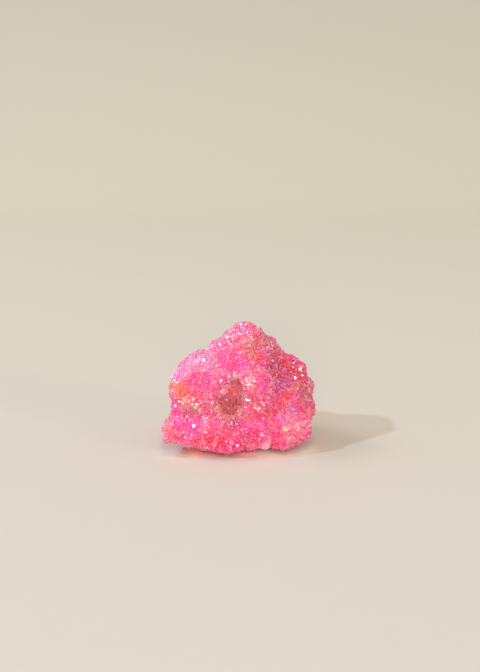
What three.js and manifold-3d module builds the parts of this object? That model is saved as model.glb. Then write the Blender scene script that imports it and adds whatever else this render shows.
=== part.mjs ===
// A chunk of druzy quartz from a geode, dyed hot pink under a thin aura coat.
// Millimetres, +Z up. The origin lies on the surface that the chunk rests on, under the middle of
// its box. The small hollow in its front faces -Y.
//
//   geode_body     the lumpy chunk, fused with the crystal points that grew all over it
//   hollow_crust   the crust of crystal points that lines the hollow in its front
//
// Both are drusy. Each crystal point is a peak whose flat faces run down to the corners of its own
// cell, and the larger quartz points are six-sided prisms with six-sided tips.

import * as THREE from "three";
import { ConvexHull } from "three/addons/math/ConvexHull.js";
import { mergeVertices } from "three/addons/utils/BufferGeometryUtils.js";
import Module from "manifold-3d";

const wasm = await Module();
wasm.setup();

// ---- Driving dimensions ----

const WIDTH = 60;
const DEPTH = 45;
const HEIGHT = 48.5;

// The lumps that grew into one rounded chunk: middle and half-size along X, Y and Z.
const CHUNK_LUMPS = [
  { name: "core", at: [1, 1, 19], half: [19, 15, 15.5] },
  { name: "crown", at: [4.3, 3, 32], half: [12.2, 10.5, 9.5] },
  { name: "crown_top", at: [5, 3, 37.5], half: [8.6, 8.5, 8.3] },
  { name: "left_shoulder", at: [-12.5, 4, 27.5], half: [8.3, 9, 6.8] },
  { name: "left_bulge", at: [-17.4, -2, 22.3], half: [6.8, 8, 6.6] },
  { name: "front_foot", at: [-3.5, -8.2, 7.5], half: [13, 8, 8.5] },
  { name: "right_shoulder", at: [18.2, 2, 25.6], half: [9.8, 9.5, 8.5] },
  { name: "back_left", at: [-9, 11, 14], half: [12, 8.5, 15.5] },
  { name: "back_right", at: [10, 12, 16], half: [12, 8, 14.5] },
];
// The lumps that stand out of it, with a crease round each.
const OUTGROWTHS = [
  { name: "left_spur", at: [-19, -7, 8.5], half: [9.8, 7.5, 4.8] },
  { name: "right_foot", at: [19, -2, 9.6], half: [10.6, 11, 9.5] },
  { name: "right_bulge", at: [21.2, 1, 18.5], half: [9, 9, 7.4] },
  { name: "crown_nodule", at: [-3.2, 1, 34.2], half: [5.7, 6.5, 5.6] },
  { name: "shoulder_nodule", at: [-15.8, -1, 29], half: [4.6, 5.5, 4.3] },
  { name: "brow_nodule", at: [8, -9, 28], half: [6.5, 6, 5] },
  { name: "chin_nodule", at: [9, -11.2, 9.8], half: [5.8, 6, 5.2] },
  { name: "back_nodule", at: [-1, 14, 26], half: [7.5, 7, 7] },
];
const HEART = new THREE.Vector3(1, 1, 19); // every stretch of the surface is seen from here
const BLEND = 1.3; // how far neighbouring lumps run into each other
const FARTHEST = 50; // no part of the surface is farther from the heart

const KNOB_PITCH = 7; // small round knobs on the lumps
const KNOB_RADIUS = 0.85 * KNOB_PITCH;
const KNOB_HEIGHT = 1.7;

const FINE_GRAIN = 2.95; // spacing of the crystal points on the upper left
const COARSE_GRAIN = 3.95; // and on the lower right
const POINT_STEEPNESS = 0.5; // height of a middling point over its spacing
const POINT_LEAN = 0.7; // the most that a point leans, as the tangent of the angle
const LARGE_POINT_SHARE = 0.07; // of the points are large quartz points
const LARGE_POINT_RADIUS = 1.5; // of a middling one

// The hollow in the front: two spaces that run into each other, with knobs of their own.
const HOLLOW_LUMPS = [
  { name: "upper", at: [1.4, -13.5, 26.2], half: [4.4, 9.5, 5.6] },
  { name: "lower", at: [-1.6, -13, 20], half: [6.8, 12, 6.2] },
];
const HOLLOW_MIDDLE = new THREE.Vector3(-1, -13, 22.5);
const HOLLOW_GAP = 0.35; // between the crust and the wall of the hollow
const CRUST_THICKNESS = 0.9; // near the mouth, without its crystals
const CRUST_BACK = 1.5; // how much thicker the crust is at the back of the hollow
const CRUST_GRAIN = 2.6;

// How often points are thrown at each form. More throws fill it no closer than its grain.
const THROWS = { chunk: 14000, outgrowth: 1500, crust: 2500 };
const CLOSEST = 0.78; // thrown points lie no closer than this share of the grain
const EVENING_ROUNDS = 5; // and are then pushed apart this often

// ---- Random numbers, the same at every run ----

function seeded(seed) {
  let state = seed;
  return () => {
    state = (state + 0x6d2b79f5) | 0;
    let mixed = Math.imul(state ^ (state >>> 15), 1 | state);
    mixed = (mixed + Math.imul(mixed ^ (mixed >>> 7), 61 | mixed)) ^ mixed;
    return ((mixed ^ (mixed >>> 14)) >>> 0) / 2 ** 32;
  };
}
const random = seeded(11);
const between = (low, high) => low + (high - low) * random();

// ---- Forms: each is a function of a point that is negative inside, in millimetres ----

function eggDistance({ at, half }, p) {
  const x = p.x - at[0];
  const y = p.y - at[1];
  const z = p.z - at[2];
  const scaled = Math.hypot(x / half[0], y / half[1], z / half[2]);
  const slope = Math.hypot(x / half[0] ** 2, y / half[1] ** 2, z / half[2] ** 2);
  return (scaled * (scaled - 1)) / Math.max(slope, 1e-6);
}

function blendedDistance(lumps, p) {
  let sum = 0;
  for (const lump of lumps) sum += Math.exp(-eggDistance(lump, p) / BLEND);
  return sum > 0 ? -BLEND * Math.log(sum) : FARTHEST;
}

// A fixed number from 0 to 1 for each whole x, y, z.
function gridNumber(x, y, z, salt) {
  const mixed = Math.sin(x * 127.1 + y * 311.7 + z * 74.7 + salt * 53.3) * 43758.5453;
  return mixed - Math.floor(mixed);
}

// Height of the nearest knob, from 0 to 1. There is one knob in each cell of a loose grid.
function knob(p) {
  const near = [p.x, p.y, p.z].map((c) => c / KNOB_PITCH);
  const [cx, cy, cz] = near.map(Math.floor);
  let best = 0;
  for (let x = cx - 1; x <= cx + 1; x++)
    for (let y = cy - 1; y <= cy + 1; y++)
      for (let z = cz - 1; z <= cz + 1; z++) {
        const away = Math.hypot(
          x + gridNumber(x, y, z, 1) - near[0],
          y + gridNumber(x, y, z, 2) - near[1],
          z + gridNumber(x, y, z, 3) - near[2],
        );
        best = Math.max(best, 1 - ((away * KNOB_PITCH) / KNOB_RADIUS) ** 2);
      }
  return best;
}

// The form of lumps blended into one, with its knobs.
const lumpyForm = (lumps) => (p) => {
  const smooth = blendedDistance(lumps, p);
  return smooth > 2 * KNOB_HEIGHT ? smooth : smooth - KNOB_HEIGHT * knob(p);
};

// The outermost point of a form's surface along a ray from its middle.
function surfacePoint(distance, middle, direction) {
  const p = new THREE.Vector3();
  const gapAt = (reach) => distance(p.copy(middle).addScaledVector(direction, reach));
  let outside = FARTHEST;
  let inside = FARTHEST;
  for (let gap = gapAt(inside); gap > 0; gap = gapAt(inside)) {
    outside = inside;
    inside -= Math.max(0.6 * gap, 0.05);
  }
  for (let i = 0; i < 8; i++) {
    const half = (inside + outside) / 2;
    if (gapAt(half) > 0) outside = half;
    else inside = half;
  }
  return middle.clone().addScaledVector(direction, inside);
}

function surfaceNormal(distance, p) {
  const reach = 0.6; // wide enough to pass over the creases between knobs
  const slope = (...axis) => {
    const step = new THREE.Vector3(...axis).multiplyScalar(reach);
    return distance(p.clone().add(step)) - distance(p.clone().sub(step));
  };
  return new THREE.Vector3(slope(1, 0, 0), slope(0, 1, 0), slope(0, 0, 1)).normalize();
}

// ---- Druse ----

function randomDirection() {
  const z = between(-1, 1);
  const turn = between(0, 2 * Math.PI);
  const flat = Math.sqrt(1 - z * z);
  return new THREE.Vector3(flat * Math.cos(turn), flat * Math.sin(turn), z);
}

// Throws points at a form and keeps each that lands clear of the others, then evens them out.
function spreadPoints(distance, middle, grain, throws) {
  let points = [];
  for (let i = 0; i < throws; i++) {
    const p = surfacePoint(distance, middle, randomDirection());
    const clear = CLOSEST * grain(p);
    if (points.every((other) => other.distanceToSquared(p) > clear * clear)) points.push(p);
  }
  for (let round = 0; round < EVENING_ROUNDS; round++)
    points = points.map((p) => {
      const moved = p.clone().add(pushFrom(points, p, 1.3 * grain(p)));
      return surfacePoint(distance, middle, moved.sub(middle).normalize());
    });
  return points;
}

// The push away from all points that lie within reach of p.
function pushFrom(points, p, reach) {
  const stiffness = 0.15;
  const push = new THREE.Vector3();
  for (const other of points) {
    const away = p.distanceTo(other);
    if (away > 0 && away < reach)
      push.addScaledVector(p.clone().sub(other), (stiffness * (reach - away)) / away);
  }
  return push;
}

// Joins the points to a closed surface of cells. Each point is lifted by lift(point) to the peak of
// its cell, and the corners of the cells stay on the form.
function druseGeometry(distance, middle, points, lift) {
  const directions = points.map((p) => p.clone().sub(middle).normalize());
  const numbers = new Map(directions.map((d, i) => [d, i]));
  const faces = new ConvexHull().setFromPoints(directions).faces;
  const edgesOf = (face) => [face.edge, face.edge.next, face.edge.prev];
  const corners = new Map();
  for (const face of faces) {
    const mean = new THREE.Vector3();
    for (const edge of edgesOf(face))
      mean.addScaledVector(points[numbers.get(edge.head().point)], 1 / 3);
    corners.set(face, surfacePoint(distance, middle, mean.sub(middle).normalize()));
  }
  const peaks = points.map(lift);
  const positions = [];
  for (const face of faces)
    for (const edge of edgesOf(face)) {
      const peak = peaks[numbers.get(edge.tail().point)];
      for (const p of [peak, corners.get(edge.twin.face), corners.get(face)])
        positions.push(p.x, p.y, p.z);
    }
  return new THREE.BufferGeometry().setAttribute(
    "position",
    new THREE.Float32BufferAttribute(positions, 3),
  );
}

// The form itself as a plain closed surface.
function bareGeometry(distance, middle, detail) {
  const geometry = new THREE.IcosahedronGeometry(1, detail);
  const positions = geometry.attributes.position;
  const p = new THREE.Vector3();
  for (let i = 0; i < positions.count; i++) {
    p.fromBufferAttribute(positions, i).normalize();
    positions.setXYZ(i, ...surfacePoint(distance, middle, p).toArray());
  }
  return geometry;
}

// A six-sided quartz prism with a six-sided tip, along +Z, with its root at the origin.
function quartzPoint(radius, length) {
  const tip = 1.2 * radius;
  const profile = [
    new THREE.Vector2(0, 0),
    new THREE.Vector2(radius, 0),
    new THREE.Vector2(radius, length - tip),
    new THREE.Vector2(0, length),
  ];
  return new THREE.LatheGeometry(profile, 6).scale(1, between(0.75, 1), 1);
}

// Turns a geometry built along +Z to point along axis, spun by a random angle, and moves it.
function plant(geometry, root, axis) {
  const up = new THREE.Vector3(0, 0, 1);
  return geometry
    .rotateZ(between(0, Math.PI / 3))
    .applyQuaternion(new THREE.Quaternion().setFromUnitVectors(up, axis))
    .translate(root.x, root.y, root.z);
}

// The way that a crystal point grows: roughly along the normal, but seldom quite.
function leaning(normal) {
  return normal.clone().addScaledVector(randomDirection(), between(0, POINT_LEAN)).normalize();
}

// ---- Solids ----

function solidOf(geometry) {
  const bare = geometry.clone();
  bare.deleteAttribute("normal");
  bare.deleteAttribute("uv");
  const merged = mergeVertices(bare, 1e-4);
  return new wasm.Manifold(
    new wasm.Mesh({
      numProp: 3,
      vertProperties: new Float32Array(merged.attributes.position.array),
      triVerts: new Uint32Array(merged.index.array),
    }),
  );
}

// The largest body of a solid, without the slivers that a cut leaves.
function largestBody(solid) {
  return solid.decompose().reduce((a, b) => (a.volume() > b.volume() ? a : b));
}

function geometryOf(solid) {
  const { numVert, numProp, vertProperties, triVerts } = solid.getMesh();
  const positions = new Float32Array(numVert * 3);
  for (let i = 0; i < numVert; i++)
    positions.set(vertProperties.subarray(i * numProp, i * numProp + 3), i * 3);
  return new THREE.BufferGeometry()
    .setAttribute("position", new THREE.BufferAttribute(positions, 3))
    .setIndex(new THREE.BufferAttribute(triVerts, 1));
}

// ---- The chunk ----

// From 0 on the upper left, where the druse is fine, to 1 on the lower right.
const coarseness = (p) => THREE.MathUtils.smoothstep(p.x - p.z, -20, 20);
const grainAt = (p) => THREE.MathUtils.lerp(FINE_GRAIN, COARSE_GRAIN, coarseness(p));

// A form covered in crystal points, with a large quartz point here and there.
function drusySolid(lumps, middle, throws) {
  const form = lumpyForm(lumps);
  const points = spreadPoints(form, middle, grainAt, throws);
  const peakOf = (p) => {
    const height = grainAt(p) * POINT_STEEPNESS * between(0.6, 1.3);
    return p.clone().addScaledVector(leaning(surfaceNormal(form, p)), height);
  };
  const largePoints = points
    .filter((p) => random() < LARGE_POINT_SHARE * (0.5 + coarseness(p)))
    .map((p) => {
      const radius = LARGE_POINT_RADIUS * between(0.75, 1.3);
      const axis = leaning(surfaceNormal(form, p));
      const root = p.clone().addScaledVector(axis, -1.5 * radius);
      return solidOf(plant(quartzPoint(radius, radius * between(3, 3.8)), root, axis));
    });
  const druse = solidOf(druseGeometry(form, middle, points, peakOf));
  return wasm.Manifold.union([druse, ...largePoints]);
}

function chunkSolid() {
  const outgrowths = OUTGROWTHS.map((lump) =>
    drusySolid([lump], new THREE.Vector3(...lump.at), THROWS.outgrowth),
  );
  return wasm.Manifold.union([drusySolid(CHUNK_LUMPS, HEART, THROWS.chunk), ...outgrowths]);
}

// Everything under the surface that the chunk stands on, cut away to leave its flat feet.
function groundSolid() {
  const deep = 20;
  return solidOf(new THREE.BoxGeometry(200, 200, deep).translate(0, 0, -deep / 2));
}

// ---- The hollow and its crust ----

// The hollow's form, smaller by inset all round and moved out of the front by out.
const hollowDistance = (inset, out) => {
  const lumps = HOLLOW_LUMPS.map(({ at, half }) => ({
    at: [at[0], at[1] - out, at[2]],
    half: half.map((h) => h - inset),
  }));
  return lumpyForm(lumps);
};

function hollowSolid(inset) {
  const detail = 5;
  return solidOf(bareGeometry(hollowDistance(inset, 0), HOLLOW_MIDDLE, detail));
}

// The open space inside the crust. Its peaks point inwards, so they stand as crystals in the crust.
function openSpaceSolid() {
  const distance = hollowDistance(HOLLOW_GAP + CRUST_THICKNESS, CRUST_BACK);
  const middle = HOLLOW_MIDDLE.clone().setY(HOLLOW_MIDDLE.y - CRUST_BACK);
  const points = spreadPoints(distance, middle, () => CRUST_GRAIN, THROWS.crust);
  const peakOf = (p) => {
    const height = CRUST_GRAIN * between(0.35, 0.7);
    return p.clone().addScaledVector(leaning(surfaceNormal(distance, p)), -height);
  };
  return solidOf(druseGeometry(distance, middle, points, peakOf));
}

// ---- The part ----

const chunk = chunkSolid();
const body = largestBody(chunk.subtract(groundSolid()).subtract(hollowSolid(0)));
const crust = largestBody(hollowSolid(HOLLOW_GAP).intersect(chunk).subtract(openSpaceSolid()));

// Stretches the pieces alike, so that the chunk fills its box and stands over the origin.
function boxedPlacement(solid) {
  const { min, max } = solid.boundingBox();
  const size = max.map((high, axis) => high - min[axis]);
  const move = [-(min[0] + max[0]) / 2, -(min[1] + max[1]) / 2, -min[2]];
  return new THREE.Matrix4()
    .makeScale(WIDTH / size[0], DEPTH / size[1], HEIGHT / size[2])
    .multiply(new THREE.Matrix4().makeTranslation(...move));
}

const placement = boxedPlacement(body);
const group = new THREE.Group();

function addPiece(name, solid, look) {
  const material = new THREE.MeshStandardMaterial({ flatShading: true, ...look });
  const piece = new THREE.Mesh(geometryOf(solid).applyMatrix4(placement), material);
  piece.name = name;
  group.add(piece);
}

addPiece("geode_body", body, { color: "#f2509a", roughness: 0.3, metalness: 0.1 });
addPiece("hollow_crust", crust, { color: "#d4586e", roughness: 0.35, metalness: 0.1 });

export default group;
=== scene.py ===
"""A chunk of druzy aura quartz: its looks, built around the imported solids. Blender 4.5."""

import math
import random
from itertools import combinations

import bmesh
import bpy
import numpy as np
from mathutils import Matrix, Vector, noise
from mathutils.bvhtree import BVHTree
from mathutils.kdtree import KDTree


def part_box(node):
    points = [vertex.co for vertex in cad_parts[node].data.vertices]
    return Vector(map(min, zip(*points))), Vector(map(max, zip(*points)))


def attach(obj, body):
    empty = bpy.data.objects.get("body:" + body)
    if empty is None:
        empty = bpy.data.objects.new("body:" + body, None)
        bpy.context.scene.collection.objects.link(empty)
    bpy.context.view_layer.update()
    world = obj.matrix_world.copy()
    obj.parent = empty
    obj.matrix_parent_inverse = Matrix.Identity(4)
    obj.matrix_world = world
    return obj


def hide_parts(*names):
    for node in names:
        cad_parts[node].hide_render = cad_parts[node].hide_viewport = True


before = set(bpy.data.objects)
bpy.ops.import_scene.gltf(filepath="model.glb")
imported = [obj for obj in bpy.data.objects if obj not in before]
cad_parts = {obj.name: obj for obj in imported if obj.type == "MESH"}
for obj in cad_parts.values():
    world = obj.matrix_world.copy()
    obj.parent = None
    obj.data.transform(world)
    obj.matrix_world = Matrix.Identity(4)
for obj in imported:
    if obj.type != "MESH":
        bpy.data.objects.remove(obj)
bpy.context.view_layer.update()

# ---- Camera ----
# A long lens on a tripod that stands a little above the chunk and looks down on its front. The
# frame is taller than it is wide, and the chunk sits below its middle.

MM = 0.001  # metres
FRAME_HEIGHT = 672  # pixels
FRAME_WIDTH = 480
FOCAL_LENGTH = 1200  # pixels
SENSOR_SIDE = 36  # millimetres, for the frame's longer side
STAND_OFF = 467 * MM  # from the lens to the middle of the chunk
NEAREST_SEEN = 10 * MM
LOOK_DOWN = math.radians(18)
CHUNK_MIDDLE = Vector((0, 0, 22 * MM))
MIDDLE_ACROSS = 238  # where the chunk's middle falls in the frame, in pixels
MIDDLE_DOWN = 388.8

camera_data = bpy.data.cameras.new("camera")
camera_data.lens = SENSOR_SIDE * FOCAL_LENGTH / FRAME_HEIGHT
camera_data.sensor_width = SENSOR_SIDE
camera_data.clip_start = NEAREST_SEEN
camera = bpy.data.objects.new("camera", camera_data)
bpy.context.scene.collection.objects.link(camera)
camera.location = CHUNK_MIDDLE + STAND_OFF * Vector((0, -math.cos(LOOK_DOWN), math.sin(LOOK_DOWN)))
tip_up = math.atan((MIDDLE_DOWN - FRAME_HEIGHT / 2) / FOCAL_LENGTH)
turn_left = math.atan((MIDDLE_ACROSS - FRAME_WIDTH / 2) / FOCAL_LENGTH)
camera.rotation_euler = (math.pi / 2 - LOOK_DOWN + tip_up, 0, turn_left)
bpy.context.scene.camera = camera
bpy.context.scene.view_settings.view_transform = "Standard"

# ---- Floor ----
# Matt paper, swept up behind the chunk in one wide curve so that no edge shows. Its tones are painted: a
# shade pinker in front, and a shade greyer and darker where it rises, which stands for the light falling
# off up the sweep.

FLOOR_FRONT = -900 * MM
FLOOR_SIDE = 1500 * MM
SWEEP_START = 500 * MM
SWEEP_RADIUS = 600 * MM
SWEEP_TOP = 1500 * MM
SWEEP_STEPS = 16
PAPER_NEAR = -300 * MM  # where the first of the paper's tones lies
PAPER_FAR = 900 * MM  # and the last
# painted fall-off of light: the last tone is the darkest, up the sweep
PAPER_TONES = [(0.0, "#cec8bf"), (0.72, "#d3cdba"), (1.0, "#c7c0b0")]
PAPER_ROUGHNESS = 0.9
PAPER_SHINE = 0.1  # specular level


def linear(hex_colour):
    """A hex sRGB colour as linear red, green, blue and alpha."""
    channels = [int(hex_colour[i : i + 2], 16) / 255 for i in (1, 3, 5)]
    return [c / 12.92 if c <= 0.04045 else ((c + 0.055) / 1.055) ** 2.4 for c in channels] + [1]


def add_node(tree, kind, settings=None, **links):
    """Adds a node. Settings are its properties, or a ramp's stops of position and colour. Links
    are its inputs, by name or as _ and a number: each is a value or another node's socket."""
    node = tree.nodes.new(kind)
    for key, value in (settings or {}).items():
        if key == "stops":
            elements = node.color_ramp.elements
            while len(elements) < len(value):
                elements.new(0.5)
            for element, (position, colour) in zip(elements, value):
                element.position = position
                element.color = linear(colour)
        else:
            setattr(node, key, value)
    for key, value in links.items():
        socket = node.inputs[int(key[1:])] if key[1:].isdigit() else node.inputs[key.replace("_", " ")]
        if isinstance(value, bpy.types.NodeSocket):
            tree.links.new(value, socket)
        else:
            socket.default_value = value
    return node


def new_material(name):
    """An empty node material, and its tree."""
    material = bpy.data.materials.new(name)
    material.use_nodes = True
    material.node_tree.nodes.clear()
    return material, material.node_tree


def new_piece(name, mesh):
    """An object of its own, in the scene."""
    piece = bpy.data.objects.new(name, mesh)
    bpy.context.scene.collection.objects.link(piece)
    return piece


def paper():
    """Uncoated paper. Its rough fibres spread the light, so it is matt and has no sheen."""
    material, tree = new_material("matt paper")
    place = add_node(tree, "ShaderNodeTexCoord").outputs["Object"]
    depth = add_node(tree, "ShaderNodeSeparateXYZ", Vector=place).outputs["Y"]
    share = add_node(tree, "ShaderNodeMapRange", Value=depth, From_Min=PAPER_NEAR, From_Max=PAPER_FAR)
    tone = add_node(tree, "ShaderNodeValToRGB", {"stops": PAPER_TONES}, Fac=share.outputs["Result"])
    shader = add_node(
        tree,
        "ShaderNodeBsdfPrincipled",
        Base_Color=tone.outputs["Color"],
        Roughness=PAPER_ROUGHNESS,
        Specular_IOR_Level=PAPER_SHINE,
    )
    add_node(tree, "ShaderNodeOutputMaterial", Surface=shader.outputs["BSDF"])
    return material


profile = [(FLOOR_FRONT, 0)]
for step in range(SWEEP_STEPS + 1):
    turn = math.pi / 2 * step / SWEEP_STEPS
    profile.append((SWEEP_START + SWEEP_RADIUS * math.sin(turn), SWEEP_RADIUS * (1 - math.cos(turn))))
profile.append((SWEEP_START + SWEEP_RADIUS, SWEEP_TOP))
sweep = bpy.data.meshes.new("paper_sweep")
sweep.from_pydata(
    [(side, y, z) for y, z in profile for side in (-FLOOR_SIDE, FLOOR_SIDE)],
    [],
    [(2 * i, 2 * i + 1, 2 * i + 3, 2 * i + 2) for i in range(len(profile) - 1)],
)
sweep.shade_smooth()
floor = new_piece("paper_sweep", sweep)
floor.data.materials.append(paper())

# ---- Light ----
# A weak cool key draws the one clear shadow, and broad soft boxes and a warm room give the rest.
# Small glows low under the overhangs stand for the light that comes through the stone.

KEY_FROM = Vector((-0.73, -0.31, 0.61))
KEY_SPREAD = math.radians(3)
KEY_WATTS = 1.32  # for each square metre
KEY_COLOUR = "#d1e7ff"
SOFT_BOXES = [  # name, direction from the chunk, distance and width in metres, watts and colour
    ("window", (-0.75, 0.1, 0.75), 1.3, 0.5, 4.4, "#efeaff"),
    ("overhead", (0.1, -0.3, 1.0), 1.5, 0.4, 4.2, "#fff8ee"),
    ("front_box", (-0.05, -1.0, 0.22), 1.5, 0.4, 9.0, "#fff4ea"),
    ("right_box", (0.85, -0.6, 0.28), 1.4, 0.14, 2.6, "#fff0d0"),
]
GLOWS = [  # name, middle, length and width in millimetres, turn from facing down, watts, colour
    ("glow under the spur", (-16.5, -10, 1.8), 12, 6, 0, 0.0001, "#ff8c70"),
    ("glow before the spur", (-18, -13.5, 4), 28, 11, 0, 0.00022, "#fff4d8"),
    ("glow along the foot", (-6, -12.8, 1.5), 27, 5.5, 0, 0.00023, "#ff6c74"),
    ("glow under the foot", (11, -13.5, 3), 21, 7, 0, 0.00022, "#ffeee8"),
    ("glow before the foot", (11, -18, 4), 36, 9, 0, 0.00016, "#f4fff4"),
    ("glow of the right foot", (23, -9, 3.5), 13, 10, 0, 0.00018, "#f0fcff"),
    ("glow into the foot", (-2, -18, 0.6), 42, 5, 155, 0.00025, "#ff5088"),
]
ROOM_COLOUR = "#fff6ec"
ROOM_STRENGTH = 0.56


def add_light(name, kind, colour, energy, towards):
    """A lamp at a place or in a direction, facing the chunk's middle."""
    data = bpy.data.lights.new(name, kind)
    data.color = linear(colour)[:3]
    data.energy = energy
    lamp = bpy.data.objects.new(name, data)
    bpy.context.scene.collection.objects.link(lamp)
    lamp.location = CHUNK_MIDDLE + towards
    lamp.rotation_euler = (-towards).to_track_quat("-Z", "Y").to_euler()
    lamp.visible_camera = False
    return lamp


key = add_light("key", "SUN", KEY_COLOUR, KEY_WATTS, KEY_FROM)
key.data.angle = KEY_SPREAD
for name, direction, distance, width, watts, colour in SOFT_BOXES:
    box = add_light(name, "AREA", colour, watts, distance * Vector(direction).normalized())
    box.data.shape = "DISK"
    box.data.size = width
for name, middle, length, width, turn, watts, colour in GLOWS:
    glow = add_light(name, "AREA", colour, watts, Vector((0, 0, 1)))
    glow.data.shape = "ELLIPSE"
    glow.data.size = length * MM
    glow.data.size_y = width * MM
    glow.location = Vector(middle) * MM
    glow.rotation_euler = (math.radians(turn), 0, 0)
room = bpy.data.worlds.new("room")
bpy.context.scene.world = room
room.use_nodes = True
room.node_tree.nodes.clear()
walls = add_node(
    room.node_tree, "ShaderNodeBackground", Color=linear(ROOM_COLOUR), Strength=ROOM_STRENGTH
)
add_node(room.node_tree, "ShaderNodeOutputWorld", Surface=walls.outputs["Background"])

# ---- Druse of the chunk ----
# The chunk is quartz that grew as lumps, each crowded with six-sided quartz points: fine as sugar
# on the upper left, coarse on the lower right. Points and lumps are one mineral, so they are fused.

FORM_VOXEL = 0.9 * MM  # of the even mesh that is laid round the solids
FORM_ROUNDS = 6  # of smoothing, which takes the coarse points off the solid
FORM_SMOOTHING = 0.5  # in each round
SWELLINGS = [  # name, middle and half sizes in millimetres, of small lumps that run into the form
    ("crown slope", (11, 2, 38), (5.2, 6, 4.9)),
    ("under the bulge", (-22.3, -3.5, 15.5), (4, 5, 3.4)),
    ("right shoulder", (20.6, -1, 30.3), (5.3, 5, 4)),
    ("right rim", (24.3, 0, 22.3), (4.7, 7, 5.8)),
    ("right flank", (25.3, -1, 14), (4.4, 6, 5)),
    ("right foot", (23.5, -8, 8), (4.7, 5.5, 5.5)),
    ("spur tip", (-26, -14.5, 7.3), (3.6, 4, 3)),
]
SWELLING_FINENESS = 3  # subdivisions
KNOB_PITCHES = (8.5 * MM, 3.8 * MM)
KNOB_HEIGHTS = (1.3 * MM, 0.7 * MM)
KNOB_REACH = 0.85  # of the pitch, from a knob's middle to its edge
FORM_LIFT = 0.1 * MM  # gives back what the smoothing took off
FOOT_TOP = 7 * MM  # below this the front is drawn in, as it rounds under to the floor
FOOT_FRONT = 8 * MM  # how far before the chunk's middle the front starts
FOOT_DRAW = 4.5 * MM  # the most that it is drawn in, on the floor
FOOT_HEIGHT = 0.35 * MM  # nothing grows on the worn feet: below this height,
FOOT_FACING = -0.5  # where the surface faces down more than this
FINE_SPACING = 0.9 * MM  # between the points of the upper left
COARSE_SPACING = 1.65 * MM  # and between those of the lower right
COARSE_RUN = 40 * MM  # from the finest points to the coarsest, to the right and down
SPACING_SPREAD = (0.75, 1.2)  # of the spacing, as no two points are alike
LARGE_SHARE = 0.03  # of the points stand out from the crowd
LARGE_TIMES = 1.35
THROWS = 90000  # of places, which are thinned to the spacing
POINT_KINDS = 24  # shapes, each with its own tip
POINT_SPREAD = (0.86, 1.04)  # a point's radius, for its spacing
POINT_STANDS = (-0.8, -0.45)  # from the surface up to its shoulder, in radii: only the tip shows
POINT_ROOT = 2.2  # from its shoulder down to the end of its root, in radii
POINT_LEAN = 0.43  # the sine of the most that it leans
TIP_SLOPE = math.radians(51.8)  # between the long axis of quartz and the normal of a tip face
SIDE_REACH = (0.8, 0.92)  # of the radius, from the axis to a side
BROAD_TIP = (0.85, 1.0)  # how high the three broad tip faces would meet the axis, in radii,
NARROW_TIP = (1.1, 1.9)  # and the three narrow ones
CORNER_SLACK = 1e-6  # of a radius, for three planes that meet in a corner
CORNER_APART = 1e-4  # corners nearer than this are one
ON_FACE = 1e-5  # a corner this near a plane is on it
OFF_AXES = (0.3, 0.5, 0.8)  # a direction along no plane's normal, to turn round a face from
PALE_POINT = (10.3, -18.6, 6.4)  # millimetres: one large clear point at the foot of the front
PALE_AXIS = (0.3, -0.85, 0.2)
PALE_RADIUS = 2.6 * MM
CORE_DEPTH = 0.75 * MM  # how far the core lies below the form, so that the points' roots cover it
CORE_VOXEL = 1.3 * MM
MOUTH_MIDDLE = (-1.3, -16.9, 22.7)  # of the hollow, in millimetres
INWARDS = (0.11, 0.98, -0.17)  # from the mouth
RIM_DEPTH = 2 * MM  # the points of the chunk also grow this far into the mouth
WALL_MARGIN = 1 * MM  # round the solid crust's box, where its wall is looked for
WALL_REACH = 1.3 * MM  # a place on the hollow's wall is this near the solid crust
BACK_REACH = 0.8 * MM  # and not this near the solid chunk, where the crust's back is
SLAB = (100 * MM, 100 * MM, 10 * MM)  # of floor, which cuts the feet flat
SEED = 7  # every draw starts from it, so each run gives the same chunk

dice = random.Random(SEED)
draws = np.random.default_rng(SEED)


def settle(piece):
    """Turns a piece's modifiers into mesh."""
    graph = bpy.context.evaluated_depsgraph_get()
    mesh = bpy.data.meshes.new_from_object(piece.evaluated_get(graph))
    piece.modifiers.clear()
    old, piece.data = piece.data, mesh
    bpy.data.meshes.remove(old)


def even_form(name, meshes, voxel, rounds):
    """One even, rounded mesh round everything that the meshes hold."""
    whole = bmesh.new()
    for mesh in meshes:
        whole.from_mesh(mesh)
    form = new_piece(name, bpy.data.meshes.new(name))
    whole.to_mesh(form.data)
    whole.free()
    remesh = form.modifiers.new("even", "REMESH")
    remesh.mode = "VOXEL"
    remesh.voxel_size = voxel
    smooth = form.modifiers.new("rounded", "SMOOTH")
    smooth.factor = FORM_SMOOTHING
    smooth.iterations = rounds
    settle(form)
    return form


def swelling(middle, half):
    """An egg-shaped lump."""
    lump = bmesh.new()
    bmesh.ops.create_icosphere(lump, subdivisions=SWELLING_FINENESS, radius=1)
    stretch = Matrix.Diagonal((*(Vector(half) * MM), 1))
    lump.transform(Matrix.Translation(Vector(middle) * MM) @ stretch)
    mesh = bpy.data.meshes.new("swelling")
    lump.to_mesh(mesh)
    lump.free()
    return mesh


def places_and_normals(mesh):
    """The places of a mesh's vertices, and its normals there."""
    places = np.empty(3 * len(mesh.vertices), np.float32)
    mesh.vertices.foreach_get("co", places)
    normals = np.empty(3 * len(mesh.vertices), np.float32)
    mesh.vertex_normals.foreach_get("vector", normals)
    return places.reshape(-1, 3), normals.reshape(-1, 3)


def push_out(mesh, lift):
    """Moves each vertex along its normal."""
    places, normals = places_and_normals(mesh)
    mesh.vertices.foreach_set("co", (places + normals * np.reshape(lift, (-1, 1))).ravel())
    mesh.update()


def knobs(mesh, pitch, height):
    """How far each vertex rises for small round knobs, one in each cell of a loose grid."""
    places, _ = places_and_normals(mesh)
    away = [noise.voronoi(Vector(place) / pitch)[0][0] / KNOB_REACH for place in places]
    lift = np.array([max(0, 1 - share**2) for share in away])
    return height * (lift - lift.mean())


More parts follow.
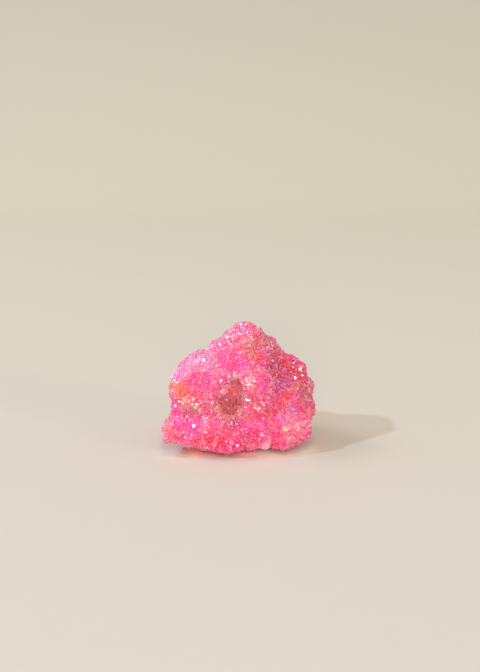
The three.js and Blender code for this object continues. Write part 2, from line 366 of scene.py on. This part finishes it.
def coarseness(places):
    """From 0 on the upper left, where the druse is fine, to 1 on the lower right."""
    share = np.clip((places[:, 0] - places[:, 2]) / COARSE_RUN + 0.5, 0, 1)
    return share * share * (3 - 2 * share)


def throw_points(mesh, throws, spacing_at, keep):
    """Points thrown evenly on a mesh and thinned to their spacing, with the normals there."""
    places, normals = places_and_normals(mesh)
    mesh.calc_loop_triangles()
    triangles = np.empty(3 * len(mesh.loop_triangles), np.int32)
    mesh.loop_triangles.foreach_get("vertices", triangles)
    triangles = triangles.reshape(-1, 3)
    a, b, c = (places[triangles[:, k]] for k in range(3))
    areas = np.linalg.norm(np.cross(b - a, c - a), axis=1)
    chosen = triangles[draws.choice(len(triangles), throws, p=areas / areas.sum())]
    u, v = draws.random((2, throws))
    over = u + v > 1
    u[over], v[over] = 1 - u[over], 1 - v[over]
    shares = np.stack([1 - u - v, u, v], axis=1)[:, :, None]
    thrown = (places[chosen] * shares).sum(axis=1)
    facing = (normals[chosen] * shares).sum(axis=1)
    facing /= np.linalg.norm(facing, axis=1)[:, None]
    good = keep(thrown, facing)
    thrown, facing = thrown[good], facing[good]
    spacing = spacing_at(thrown)
    tree = KDTree(len(thrown))
    for i, place in enumerate(thrown):
        tree.insert(place, i)
    tree.balance()
    taken = np.zeros(len(thrown), bool)
    kept = []
    for i, place in enumerate(thrown):
        if not taken[i]:
            kept.append(i)
            for _, j, _ in tree.find_range(place, spacing[i]):
                taken[j] = True
    return thrown[kept], facing[kept], spacing[kept]


def quartz_point(root_depth):
    """The corners and faces of a six-sided quartz point of radius 1, with its shoulder at z = 0."""
    planes = [((0, 0, -1), root_depth)]
    for k in range(6):
        x, y = math.cos(math.radians(60 * k)), math.sin(math.radians(60 * k))
        planes.append(((x, y, 0), dice.uniform(*SIDE_REACH)))
        rise = dice.uniform(*(NARROW_TIP if k % 2 else BROAD_TIP))
        out, up = math.sin(TIP_SLOPE), math.cos(TIP_SLOPE)
        planes.append(((x * out, y * out, up), rise * up))
    normals = np.array([normal for normal, _ in planes])
    offsets = np.array([offset for _, offset in planes])
    corners = []
    for three in combinations(range(len(planes)), 3):
        if abs(np.linalg.det(normals[list(three)])) > CORNER_SLACK:
            corner = np.linalg.solve(normals[list(three)], offsets[list(three)])
            if (normals @ corner <= offsets + CORNER_SLACK).all():
                if all(np.linalg.norm(corner - other) > CORNER_APART for other in corners):
                    corners.append(corner)
    corners = np.array(corners)
    faces = []
    for normal, offset in zip(normals, offsets):
        on = np.flatnonzero(np.abs(corners @ normal - offset) < ON_FACE)
        if len(on) > 2:
            side = np.cross(normal, OFF_AXES)
            side /= np.linalg.norm(side)
            out = corners[on] - corners[on].mean(axis=0)
            order = np.argsort(np.arctan2(out @ np.cross(normal, side), out @ side))
            faces.append(on[order])
    return corners, faces


def planted(shapes, roots, axes, radii, lengths):
    """Quartz points on their roots, as a list of (corners, faces)."""
    grown = []
    for root, axis, radius, length in zip(roots, axes, radii, lengths):
        corners, faces = dice.choice(shapes)
        stretch = corners * radius
        stretch[:, 2] += length
        spin = Matrix.Rotation(dice.uniform(0, 2 * math.pi), 3, "Z")
        turn = np.array(Vector((0, 0, 1)).rotation_difference(Vector(axis)).to_matrix() @ spin)
        grown.append((stretch @ turn.T + root, faces))
    return grown


def leaning(normals, most):
    """Axes that lean from the normals, at most by the angle that has the given sine."""
    lean = draws.normal(size=normals.shape)
    lean /= np.linalg.norm(lean, axis=1)[:, None]
    axes = normals + lean * draws.uniform(0, most, len(normals))[:, None]
    return axes / np.linalg.norm(axes, axis=1)[:, None]


def joined_mesh(name, crystals):
    """One mesh of many crystals, each face numbered with its crystal."""
    corners, faces, owner, start = [], [], [], 0
    for number, (points, sides) in crystals:
        corners.append(points)
        faces += [(side + start).tolist() for side in sides]
        owner += [number] * len(sides)
        start += len(points)
    mesh = bpy.data.meshes.new(name)
    mesh.from_pydata(np.concatenate(corners), [], faces)
    mesh.attributes.new("crystal", "INT", "FACE").data.foreach_set("value", owner)
    return mesh


def groups_apart(crystals):
    """Sorts crystals into groups in which none touches another."""
    middles = [points.mean(axis=0) for points, _ in crystals]
    reaches = [np.linalg.norm(points - m, axis=1).max() for (points, _), m in zip(crystals, middles)]
    tree = KDTree(len(middles))
    for i, middle in enumerate(middles):
        tree.insert(middle, i)
    tree.balance()
    widest = max(reaches)
    group = [-1] * len(middles)
    for i in np.argsort(reaches)[::-1]:
        near = tree.find_range(middles[i], reaches[i] + widest)
        used = {group[j] for _, j, away in near if away < reaches[i] + reaches[j]}
        group[i] = next(g for g in range(len(used) + 1) if g not in used)
    return [[i for i, g in enumerate(group) if g == k] for k in range(max(group) + 1)]


def combine(piece, operation, mesh):
    """Joins a mesh to a piece or cuts it away, and takes the mesh up."""
    tool = new_piece("tool", mesh)
    change = piece.modifiers.new("combine", "BOOLEAN")
    change.operation = operation
    change.solver = "MANIFOLD"
    change.object = tool
    settle(piece)
    bpy.data.objects.remove(tool)
    bpy.data.meshes.remove(mesh)


def fuse(piece, crystals):
    """Joins crystals and the form that they grew on into one closed mesh."""
    piece.data.attributes.new("crystal", "INT", "FACE").data.foreach_set(
        "value", [-1] * len(piece.data.polygons)
    )
    for members in groups_apart(crystals):
        combine(piece, "UNION", joined_mesh("cluster", [(i, crystals[i]) for i in members]))


def keep_outer_shell(mesh):
    """Takes away the small closed shells: gaps that are sealed between points."""
    edges = np.empty(2 * len(mesh.edges), np.int32)
    mesh.edges.foreach_get("vertices", edges)
    first, second = edges.reshape(-1, 2).T
    shell = np.arange(len(mesh.vertices))
    while True:
        low = np.minimum(shell[first], shell[second])
        lower = shell.copy()
        np.minimum.at(lower, first, low)
        np.minimum.at(lower, second, low)
        lower = lower[lower]
        if (lower == shell).all():
            break
        shell = lower
    labels, counts = np.unique(shell, return_counts=True)
    whole = bmesh.new()
    whole.from_mesh(mesh)
    whole.verts.ensure_lookup_table()
    strays = [whole.verts[i] for i in np.flatnonzero(shell != labels[counts.argmax()])]
    bmesh.ops.delete(whole, geom=strays, context="VERTS")
    whole.to_mesh(mesh)
    whole.free()


def solid_tree(node):
    """A tree of a solid's faces, to find how near it is."""
    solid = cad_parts[node].data
    return BVHTree.FromPolygons([v.co for v in solid.vertices], [p.vertices for p in solid.polygons])


def draw_foot_in(mesh):
    """Draws the low front in towards the middle, more the lower it is."""
    places, _ = places_and_normals(mesh)
    under = np.clip(1 - places[:, 2] / FOOT_TOP, 0, 1) ** 2
    front = np.clip((-FOOT_FRONT - places[:, 1]) / FOOT_FRONT, 0, 1)
    places[:, 1] += FOOT_DRAW * under * front
    mesh.vertices.foreach_set("co", places.ravel())
    mesh.update()


body_tree = solid_tree("geode_body")
crust_tree = solid_tree("hollow_crust")


def on_hollow_wall(places):
    """Which places lie on the hollow's wall, farther in than its rim."""
    low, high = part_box("hollow_crust")
    inner = (places > np.array(low) - WALL_MARGIN).all(axis=1)
    inner &= (places < np.array(high) + WALL_MARGIN).all(axis=1)
    inner &= (places - np.array(MOUTH_MIDDLE) * MM) @ np.array(INWARDS) > RIM_DEPTH
    for i in np.flatnonzero(inner):
        place = Vector(places[i])
        on_crust = crust_tree.find_nearest(place, WALL_REACH)[0] is not None
        by_body = body_tree.find_nearest(place, BACK_REACH)[0] is not None
        inner[i] = on_crust and not by_body
    return inner


def on_outside(places, normals):
    """Which places lie neither in the hollow nor on the worn feet, nor under the pale point."""
    apart = np.linalg.norm(places - np.array(PALE_POINT) * MM, axis=1) > PALE_RADIUS
    grown = (places[:, 2] > FOOT_HEIGHT) | (normals[:, 2] > FOOT_FACING)
    return ~on_hollow_wall(places) & grown & apart


def chunk_spacing(places):
    """How far apart the points of the chunk grow at each place."""
    spacing = FINE_SPACING + (COARSE_SPACING - FINE_SPACING) * coarseness(places)
    large = draws.random(len(places)) < LARGE_SHARE
    return spacing * draws.uniform(*SPACING_SPREAD, len(places)) * np.where(large, LARGE_TIMES, 1)


lumps = [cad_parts[node].data for node in ("geode_body", "hollow_crust")]
lumps += [swelling(middle, half) for _, middle, half in SWELLINGS]
druse = even_form("geode_druse", lumps, FORM_VOXEL, FORM_ROUNDS)
for mesh in lumps[2:]:
    bpy.data.meshes.remove(mesh)
lift = sum(knobs(druse.data, pitch, height) for pitch, height in zip(KNOB_PITCHES, KNOB_HEIGHTS))
push_out(druse.data, FORM_LIFT + lift)
draw_foot_in(druse.data)
roots, normals, spacing = throw_points(druse.data, THROWS, chunk_spacing, on_outside)

push_out(druse.data, -CORE_DEPTH)
remesh = druse.modifiers.new("core", "REMESH")
remesh.mode = "VOXEL"
remesh.voxel_size = CORE_VOXEL
settle(druse)

radii = spacing * draws.uniform(*POINT_SPREAD, len(roots))
lengths = radii * draws.uniform(*POINT_STANDS, len(roots))
kinds = [quartz_point(POINT_ROOT) for _ in range(POINT_KINDS)]
crystals = planted(kinds, roots, leaning(normals, POINT_LEAN), radii, lengths)
crystals += planted(
    kinds, [Vector(PALE_POINT) * MM], [Vector(PALE_AXIS).normalized()], [PALE_RADIUS], [0]
)
fuse(druse, crystals)

slab = bmesh.new()
bmesh.ops.create_cube(slab, size=1)
slab.transform(Matrix.Translation((0, 0, -SLAB[2] / 2)) @ Matrix.Diagonal((*SLAB, 1)))
ground = bpy.data.meshes.new("ground")
slab.to_mesh(ground)
slab.free()
combine(druse, "DIFFERENCE", ground)
keep_outer_shell(druse.data)

BARE_TONE = 0.5  # of ground on which nothing grew


def number_facets(mesh, pale_number=None):
    """Gives each crystal and each facet a random tone from 0 to 1, and bare ground a middle one."""
    owners = np.empty(len(mesh.polygons), np.int32)
    mesh.attributes["crystal"].data.foreach_get("value", owners)
    crystal_tones = np.where(owners < 0, BARE_TONE, draws.random(owners.max() + 2)[owners + 1])
    facet_tones = np.where(owners < 0, BARE_TONE, draws.random(len(owners)))
    for name, tones in (("crystal_tone", crystal_tones), ("facet_tone", facet_tones)):
        mesh.attributes.new(name, "FLOAT", "FACE").data.foreach_set("value", tones)
    pale = (owners == pale_number) * 1.0
    mesh.attributes.new("pale", "FLOAT", "FACE").data.foreach_set("value", pale)


FILM = 434  # nanometres thick: it turns the facets' reflections magenta
FILM_IOR = 1.95  # of a thin layer of metal oxide
GLOW_WEIGHT = 1.0  # all of the light that enters wanders in the stone
GLOW_DEPTH = 5 * MM  # and this is how deep
GLOW_COLOURS = (1.0, 0.25, 0.3)  # red wanders the farthest
QUARTZ_IOR = 1.55
FACET_POLISH = (0.42, 0.13)  # roughness, from the most etched facets to the cleanest
HILLOCK_WIDTH = 0.5 * MM  # growth hillocks, drawn coarser than they are so that they show
HILLOCK_HEIGHT = 0.05 * MM
HILLOCK_STRENGTH = 0.5
HILLOCK_DETAIL = 2.0
CLOUD_WIDTH = 7 * MM
CLOUD_DETAIL = 3.0
PATCH_DRIFT = 3.5 * MM  # how far the edges of a patch wander
PATCH_FADE = (1.25, 0.5)  # of its radius: where a patch ends, and where it is full
POINT_SHARE = 0.28  # of a point's colour is its own, and the rest its surroundings'
COARSE_CORNER = (22, -14, 12)  # where the coarse points show their own colours the most, in
COARSE_REACH = 12  # millimetres, so far round it
COARSE_SHARE = 0.22  # is added to a point's own share there
# Painted reflections: random facets are painted pale gold, lilac and white, flashes that stand for the
# film's reflections.
PAINTED_FLASH_FACETS = (0.84, 0.88)  # the facets whose tone lies above these are painted with a flash
PAINTED_FLASH_SHARE = 0.42  # of such a facet's colour is the painted flash's
PAINTED_FLASHES = [(0.0, "#ffd9ea"), (0.25, "#f6acec"), (0.45, "#ffbe7a"), (0.65, "#ff9fda"), (0.85, "#ffe6a4")]
# painted highlight: facets near the listed places are painted this near-white, as glints
PAINTED_GLINT_COLOUR = "#fff0da"
PALE_COLOUR = "#ffb6cc"
DYE_CLOUDS = [  # the dye took unevenly: colours from its palest clouds to its strongest
    (0.3, "#f29fb0"),
    (0.4, "#f27c90"),
    (0.48, "#f26488"),
    (0.54, "#f25c98"),
    (0.6, "#f26c84"),
    (0.68, "#f28478"),
]
POINT_TONES = [(0.0, "#f23f7a"), (0.25, "#f2746e"), (0.5, "#f2709c"), (0.75, "#f25cc8"), (1.0, "#f2b07c")]
# Patches of dye colour, and among them painted light: lilac sheen on the lit top and upper left, and
# painted shade in the dip and on the hollow's sill.
DYE_SHEEN_AND_SHADE_PATCHES = [  # name, middle and radius in millimetres, colour, and its share at the middle
    # dye and painted sheen: lilac on the lit top, where the facets catch the cool light
    ("lilac crown", (-4, -2, 44), 8, "#dc889c", 0.9),
    ("pink crown top", (4, -1, 48), 5, "#dc7078", 0.8),
    ("dull crown", (12, -2, 42), 7, "#cc7c76", 0.9),
    ("salmon brow", (3.5, -8.5, 41), 5, "#d2947c", 0.9),
    # painted shade: the dip between the crown and the right shoulder, darkened where shade falls
    ("dusky dip", (16, -8, 32.5), 7, "#b04830", 0.9),
    ("crimson shoulder", (22.5, -3, 32.5), 6, "#d81c2c", 0.9),
    # dye and painted sheen: lilac on the lit upper left
    ("lilac shoulder", (-16.5, -5, 34.5), 9, "#e0a6c4", 0.9),
    ("magenta flank", (-15, -10.5, 28), 5, "#f24c98", 0.9),
    ("magenta cheek", (-11, -13.5, 25), 4, "#f874b0", 0.8),
    ("magenta brow", (-1, -9, 35.5), 6, "#f266a6", 0.8),
    # dye and painted sheen: lilac on the lit upper left of the bulge
    ("lilac brow of the bulge", (-24, -5, 29.5), 4, "#f298c4", 0.9),
    ("coral bulge", (-23.5, -11, 23.5), 6.5, "#f2863c", 1.0),
    ("rose under the bulge", (-24.2, -11, 20.5), 3, "#f24450", 0.85),
    ("orange bulge", (-15.5, -14, 26), 3.5, "#f27888", 0.8),
    ("tan ridge", (-18, -12, 18.5), 4.5, "#e2b48c", 0.9),
    ("tan ridge end", (-12.4, -15.7, 21), 3.5, "#ec8e80", 0.7),
    ("magenta spur", (-19, -15, 13), 6, "#f86cb2", 0.9),
    ("salmon spur tip", (-27, -16, 10), 4.5, "#f88880", 0.9),
    ("violet middle", (10, -16, 28), 5, "#f65c9e", 0.8),
    ("pink middle", (12, -13.5, 21.5), 5, "#e66c92", 0.8),
    ("dusky violet", (17.5, -11.5, 26.5), 5, "#b86a94", 0.8),
    ("salmon right", (20, -11, 22), 4, "#f25668", 0.8),
    ("lilac right", (20, -14, 16.3), 5, "#cca4c2", 0.85),
    ("peach foot", (21.5, -15.5, 10), 5, "#f4b0b8", 0.8),
    ("magenta chin", (10, -19, 12), 6, "#f24c94", 0.8),
    ("crimson foot", (-1, -19, 4), 5.5, "#f20c7a", 1.0),
    ("pink foot", (-2, -20, 12.5), 4.5, "#f46c96", 0.8),
    ("red foot", (-10, -19.5, 6), 6, "#f42440", 0.8),
    ("rose middle of the foot", (5, -20.5, 9), 4.5, "#cc4462", 0.8),
    ("dusty rim of the hollow", (-1.3, -14.5, 22.5), 9, "#f4686c", 0.95),
    # painted shade: the sill under the hollow's mouth is darkened, as shade falls into the hollow
    ("dusty sill of the hollow", (-2.3, -17.5, 17.2), 4.2, "#b45060", 0.95),
    ("dull rim", (27.5, -4, 22), 7, "#b86a72", 0.9),
]
PAINTED_GLINTS = [  # name, middle and radius in millimetres, and the share of the facets painted as glints there
    ("ridge of the spur", (-18.5, -12.5, 19.5), 5.5, 0.18),
    ("brow of the bulge", (-23.5, -6, 28.5), 3.5, 0.08),
    ("edge of the hollow", (4.5, -17.5, 30.4), 2.5, 0.45),
    ("beside the hollow", (8.3, -15.8, 20.7), 2.5, 0.4),
    ("foot of the front", (-2.3, -19.4, 8.5), 4, 0.1),
    ("crown", (-2.3, -3.9, 44.4), 4, 0.12),
]


def nearness(tree, place, label, middle, radius, most):
    """A share that falls from most at a middle to 0 round it."""
    away = add_node(
        tree, "ShaderNodeVectorMath", {"operation": "DISTANCE"}, _0=place, _1=Vector(middle) * MM
    )
    share = add_node(
        tree,
        "ShaderNodeMapRange",
        {"interpolation_type": "SMOOTHSTEP", "label": label},
        Value=away.outputs["Value"],
        From_Min=PATCH_FADE[0] * radius * MM,
        From_Max=PATCH_FADE[1] * radius * MM,
        To_Max=most,
    )
    return share.outputs["Result"]


def aura_quartz(name, clouds, tones, patches, painted_glints, glow_depth, film):
    """Dyed quartz under a metal film, laid on from vapour. The dyed stone glows from within, facet by
    facet, and the film gives the glassy faces a magenta reflection. Pale flashes on random facets and
    glints at listed places are painted into the base colour as reflections and highlights, and some of
    the patches are painted sheen and shade."""
    material, tree = new_material(name)
    place = add_node(tree, "ShaderNodeTexCoord").outputs["Object"]
    crystal_tone, facet_tone, pale = (
        add_node(tree, "ShaderNodeAttribute", {"attribute_name": attribute}).outputs["Fac"]
        for attribute in ("crystal_tone", "facet_tone", "pale")
    )
    cloud = add_node(tree, "ShaderNodeTexNoise", Vector=place, Scale=1 / CLOUD_WIDTH, Detail=CLOUD_DETAIL)
    drift = add_node(
        tree,
        "ShaderNodeVectorMath",
        {"operation": "MULTIPLY_ADD"},
        _0=cloud.outputs["Color"],
        _1=[PATCH_DRIFT] * 3,
        _2=[-PATCH_DRIFT / 2] * 3,
    )
    drifted = add_node(tree, "ShaderNodeVectorMath", _0=place, _1=drift.outputs["Vector"]).outputs[0]
    coarse = nearness(tree, place, "coarse corner", COARSE_CORNER, COARSE_REACH, COARSE_SHARE)
    own = add_node(tree, "ShaderNodeMath", _0=coarse, _1=POINT_SHARE)
    own_tone = add_node(tree, "ShaderNodeValToRGB", {"stops": tones}, Fac=crystal_tone)
    # painted reflections: facets whose tone is high get a pale painted flash
    painted_flash = add_node(
        tree,
        "ShaderNodeMapRange",
        Value=facet_tone,
        From_Min=PAINTED_FLASH_FACETS[0],
        From_Max=PAINTED_FLASH_FACETS[1],
        To_Max=PAINTED_FLASH_SHARE,
    )
    painted_flash_tone = add_node(tree, "ShaderNodeValToRGB", {"stops": PAINTED_FLASHES}, Fac=crystal_tone)
    painted_flash_tone.color_ramp.interpolation = "CONSTANT"
    # The layers hold dye and painted light: patches of painted sheen and shade, painted flashes and
    # painted glints.
    layers = [  # share and colour of each, from the innermost out
        (nearness(tree, drifted, patch, middle, radius, most), linear(patch_colour))
        for patch, middle, radius, patch_colour, most in patches
    ]
    layers.append((own.outputs["Value"], own_tone.outputs["Color"]))
    layers.append((painted_flash.outputs["Result"], painted_flash_tone.outputs["Color"]))
    # painted highlights: near each listed place, facets with a low enough tone are painted near-white
    for glint, middle, radius, most in painted_glints:
        near = nearness(tree, place, glint, middle, radius, most)
        bright = add_node(tree, "ShaderNodeMath", {"operation": "LESS_THAN"}, _0=facet_tone, _1=near)
        layers.append((bright.outputs["Value"], linear(PAINTED_GLINT_COLOUR)))
    layers.append((pale, linear(PALE_COLOUR)))
    colour = add_node(tree, "ShaderNodeValToRGB", {"stops": clouds}, Fac=cloud.outputs["Fac"]).outputs[0]
    for share, over in layers:
        mix = add_node(tree, "ShaderNodeMix", {"data_type": "RGBA"}, _0=share, _6=colour, _7=over)
        colour = mix.outputs[2]
    polish = add_node(
        tree, "ShaderNodeMapRange", Value=facet_tone, To_Min=FACET_POLISH[0], To_Max=FACET_POLISH[1]
    )
    hillocks = add_node(
        tree, "ShaderNodeTexNoise", Vector=place, Scale=1 / HILLOCK_WIDTH, Detail=HILLOCK_DETAIL
    )
    bump = add_node(
        tree,
        "ShaderNodeBump",
        Height=hillocks.outputs["Fac"],
        Strength=HILLOCK_STRENGTH,
        Distance=HILLOCK_HEIGHT,
    )
    shader = add_node(
        tree,
        "ShaderNodeBsdfPrincipled",
        Base_Color=colour,
        Roughness=polish.outputs["Result"],
        Normal=bump.outputs["Normal"],
        IOR=QUARTZ_IOR,
        Subsurface_Weight=GLOW_WEIGHT,
        Subsurface_Radius=GLOW_COLOURS,
        Subsurface_Scale=glow_depth,
        Thin_Film_Thickness=film,
        Thin_Film_IOR=FILM_IOR,
    )
    add_node(tree, "ShaderNodeOutputMaterial", Surface=shader.outputs["BSDF"])
    return material


number_facets(druse.data, len(crystals) - 1)
druse.data.materials.clear()
druse.data.materials.append(
    aura_quartz("aura quartz", DYE_CLOUDS, POINT_TONES, DYE_SHEEN_AND_SHADE_PATCHES, PAINTED_GLINTS, GLOW_DEPTH, FILM)
)
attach(druse, "root")
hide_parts("geode_body")

# ---- Crust of the hollow ----
# The hollow in the front is lined with one crust of larger points. The film that colours the chunk
# barely reached in there, so the quartz is a dusty rose.

CRUST_VOXEL = 0.5 * MM
CRUST_ROUNDS = 5
CRUST_LIFT = 0.3 * MM  # lays the crust over the wall of the hollow
RIM_LIFT = -0.3 * MM  # and its rim under the points of the chunk
CRUST_SPACING = 1.25 * MM
CRUST_SPREAD = (0.7, 1.3)  # of the spacing
CRUST_THROWS = 20000
CRUST_KINDS = 12
CRUST_STANDS = (-0.6, -0.1)  # its points stand prouder than the chunk's,
CRUST_ROOT = 0.7  # have short roots
CRUST_LEAN = 0.4  # and lean less
CRUST_GLOW_DEPTH = 3 * MM
CRUST_FILM = 0  # nanometres: too little film to see
DUSTY_CLOUDS = [(0.35, "#fc98a0"), (0.5, "#f48c9c"), (0.65, "#fc9ca4")]
DUSTY_TONES = [(0.0, "#f88494"), (0.4, "#fc949e"), (0.7, "#ff9ca8"), (1.0, "#ffb0b4")]
# painted shade: the floor of the hollow is darkened where shade falls inside it
HOLLOW_FLOOR_SHADE = [("dusky floor of the hollow", (-1.8, -9, 14.3), 5.5, "#c4707a", 0.95)]


def crust_spacing(places):
    """How far apart the points of the crust grow at each place."""
    return CRUST_SPACING * draws.uniform(*CRUST_SPREAD, len(places))


crust = even_form("hollow_druse", [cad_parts["hollow_crust"].data], CRUST_VOXEL, CRUST_ROUNDS)
wall = on_hollow_wall(places_and_normals(crust.data)[0])
push_out(crust.data, np.where(wall, CRUST_LIFT, RIM_LIFT))
roots, normals, spacing = throw_points(
    crust.data, CRUST_THROWS, crust_spacing, lambda places, normals: on_hollow_wall(places)
)
radii = spacing * draws.uniform(*POINT_SPREAD, len(roots))
lengths = radii * draws.uniform(*CRUST_STANDS, len(roots))
kinds = [quartz_point(CRUST_ROOT) for _ in range(CRUST_KINDS)]
fuse(crust, planted(kinds, roots, leaning(normals, CRUST_LEAN), radii, lengths))
keep_outer_shell(crust.data)
number_facets(crust.data)
crust.data.materials.clear()
crust.data.materials.append(
    aura_quartz(
        "dusty rose quartz", DUSTY_CLOUDS, DUSTY_TONES, HOLLOW_FLOOR_SHADE, [], CRUST_GLOW_DEPTH, CRUST_FILM
    )
)
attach(crust, "root")
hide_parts("hollow_crust")
